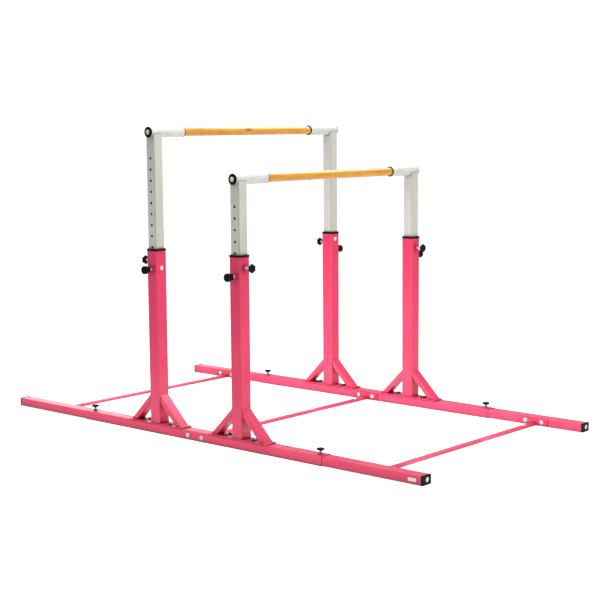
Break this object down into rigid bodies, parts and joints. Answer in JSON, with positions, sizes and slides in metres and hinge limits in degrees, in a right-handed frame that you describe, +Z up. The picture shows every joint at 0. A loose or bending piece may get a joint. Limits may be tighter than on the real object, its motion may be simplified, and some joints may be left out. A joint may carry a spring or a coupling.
{
  "type": "uneven parallel bars",
  "caption": "Two wooden bars at different heights on telescopic steel uprights, on a floor frame with pull-out rail ends, flat cross braces and knob clamps.",
  "frame": {"origin": "on the floor, at the middle of the frame's footprint", "axes": "+Z up, +X along the floor rails from the high bar to the low bar, +Y along the bars from front to back"},
  "size_m": [2.61, 1.452, 1.4543],
  "materials": {
    "pink_steel": "glossy pink powder coat on steel tube",
    "grey_steel": "smooth silver-grey coating on steel tube",
    "zinc_steel": "bright zinc plate",
    "spring_steel": "plain spring wire",
    "black_plastic": "moulded black plastic; knobs sit on steel screws or plungers",
    "white_plastic": "moulded white cover",
    "varnished_wood": "clear gloss varnish over pale yellow wood"
  },
  "bodies": {
    "base": {"front_rail": "pink_steel", "back_rail": "pink_steel", "centre_brace": "pink_steel", "centre_brace_bolts": "zinc_steel"},
    "left_extension": {"front_left_extension": "pink_steel", "back_left_extension": "pink_steel", "left_brace": "pink_steel", "left_brace_bolts": "zinc_steel", "left_end_caps": "black_plastic"},
    "left_upright": {"front_left_post": "pink_steel", "back_left_post": "pink_steel", "left_gussets": "pink_steel", "left_foot_plates": "pink_steel", "left_foot_bolts": "zinc_steel", "left_collars": "black_plastic", "left_cover_discs": "white_plastic", "left_pin_barrels": "zinc_steel", "front_left_pin_spring": "spring_steel", "back_left_pin_spring": "spring_steel"},
    "right_extension": {"front_right_extension": "pink_steel", "back_right_extension": "pink_steel", "right_brace": "pink_steel", "right_brace_bolts": "zinc_steel", "right_end_caps": "black_plastic"},
    "right_upright": {"front_right_post": "pink_steel", "back_right_post": "pink_steel", "right_gussets": "pink_steel", "right_foot_plates": "pink_steel", "right_foot_bolts": "zinc_steel", "right_collars": "black_plastic", "right_cover_discs": "white_plastic", "right_pin_barrels": "zinc_steel", "front_right_pin_spring": "spring_steel", "back_right_pin_spring": "spring_steel"},
    "high_bar": {"front_high_inner_post": "grey_steel", "back_high_inner_post": "grey_steel", "high_sleeves": "grey_steel", "high_wood_bar": "varnished_wood", "high_end_plugs": "black_plastic", "high_bar_screws": "zinc_steel", "high_bushes": "black_plastic"},
    "low_bar": {"front_low_inner_post": "grey_steel", "back_low_inner_post": "grey_steel", "low_sleeves": "grey_steel", "low_wood_bar": "varnished_wood", "low_end_plugs": "black_plastic", "low_bar_screws": "zinc_steel", "low_bushes": "black_plastic"},
    "front_left_pull_pin": {"front_left_pull_pin": "black_plastic"},
    "front_left_star_knob": {"front_left_star_knob": "black_plastic"},
    "front_left_rail_knob": {"front_left_rail_knob": "black_plastic"},
    "back_left_pull_pin": {"back_left_pull_pin": "black_plastic"},
    "back_left_star_knob": {"back_left_star_knob": "black_plastic"},
    "back_left_rail_knob": {"back_left_rail_knob": "black_plastic"},
    "front_right_pull_pin": {"front_right_pull_pin": "black_plastic"},
    "front_right_star_knob": {"front_right_star_knob": "black_plastic"},
    "front_right_rail_knob": {"front_right_rail_knob": "black_plastic"},
    "back_right_pull_pin": {"back_right_pull_pin": "black_plastic"},
    "back_right_star_knob": {"back_right_star_knob": "black_plastic"},
    "back_right_rail_knob": {"back_right_rail_knob": "black_plastic"}
  },
  "joints": [
    {"name": "left_extension_slide", "type": "slide", "parent": "base", "child": "left_extension", "axis": [-1, 0, 0], "range_m": [-0.15, 0.04]},
    {"name": "left_upright_slide", "type": "slide", "parent": "base", "child": "left_upright", "axis": [-1, 0, 0], "range_m": [0, 0.264]},
    {"name": "right_extension_slide", "type": "slide", "parent": "base", "child": "right_extension", "axis": [1, 0, 0], "range_m": [-0.15, 0.04]},
    {"name": "right_upright_slide", "type": "slide", "parent": "base", "child": "right_upright", "axis": [1, 0, 0], "range_m": [0, 0.264]},
    {"name": "high_bar_height", "type": "slide", "parent": "left_upright", "child": "high_bar", "axis": [0, 0, 1], "range_m": [-0.52, 0]},
    {"name": "low_bar_height", "type": "slide", "parent": "right_upright", "child": "low_bar", "axis": [0, 0, 1], "range_m": [-0.312, 0.208]},
    {"name": "front_left_pin_pull", "type": "slide", "parent": "left_upright", "child": "front_left_pull_pin", "axis": [0, -1, 0], "range_m": [0, 0.01], "stiffness_N_per_m": 600, "springref_m": -0.006, "deforming": ["front_left_pin_spring"]},
    {"name": "front_left_star_turn", "type": "hinge", "parent": "left_upright", "child": "front_left_star_knob", "pos_m": [-0.302, -0.64, 0.826], "axis": [-1, 0, 0], "continuous": true},
    {"name": "front_left_rail_knob_turn", "type": "hinge", "parent": "base", "child": "front_left_rail_knob", "pos_m": [-0.741, -0.64, 0.044], "axis": [0, 0, 1], "continuous": true},
    {"name": "back_left_pin_pull", "type": "slide", "parent": "left_upright", "child": "back_left_pull_pin", "axis": [0, 1, 0], "range_m": [0, 0.01], "stiffness_N_per_m": 600, "springref_m": -0.006, "deforming": ["back_left_pin_spring"]},
    {"name": "back_left_star_turn", "type": "hinge", "parent": "left_upright", "child": "back_left_star_knob", "pos_m": [-0.302, 0.64, 0.826], "axis": [-1, 0, 0], "continuous": true},
    {"name": "back_left_rail_knob_turn", "type": "hinge", "parent": "base", "child": "back_left_rail_knob", "pos_m": [-0.741, 0.64, 0.044], "axis": [0, 0, 1], "continuous": true},
    {"name": "front_right_pin_pull", "type": "slide", "parent": "right_upright", "child": "front_right_pull_pin", "axis": [0, -1, 0], "range_m": [0, 0.01], "stiffness_N_per_m": 600, "springref_m": -0.006, "deforming": ["front_right_pin_spring"]},
    {"name": "front_right_star_turn", "type": "hinge", "parent": "right_upright", "child": "front_right_star_knob", "pos_m": [0.302, -0.64, 0.826], "axis": [1, 0, 0], "continuous": true},
    {"name": "front_right_rail_knob_turn", "type": "hinge", "parent": "base", "child": "front_right_rail_knob", "pos_m": [0.741, -0.64, 0.044], "axis": [0, 0, 1], "continuous": true},
    {"name": "back_right_pin_pull", "type": "slide", "parent": "right_upright", "child": "back_right_pull_pin", "axis": [0, 1, 0], "range_m": [0, 0.01], "stiffness_N_per_m": 600, "springref_m": -0.006, "deforming": ["back_right_pin_spring"]},
    {"name": "back_right_star_turn", "type": "hinge", "parent": "right_upright", "child": "back_right_star_knob", "pos_m": [0.302, 0.64, 0.826], "axis": [1, 0, 0], "continuous": true},
    {"name": "back_right_rail_knob_turn", "type": "hinge", "parent": "base", "child": "back_right_rail_knob", "pos_m": [0.741, 0.64, 0.044], "axis": [0, 0, 1], "continuous": true}
  ]
}
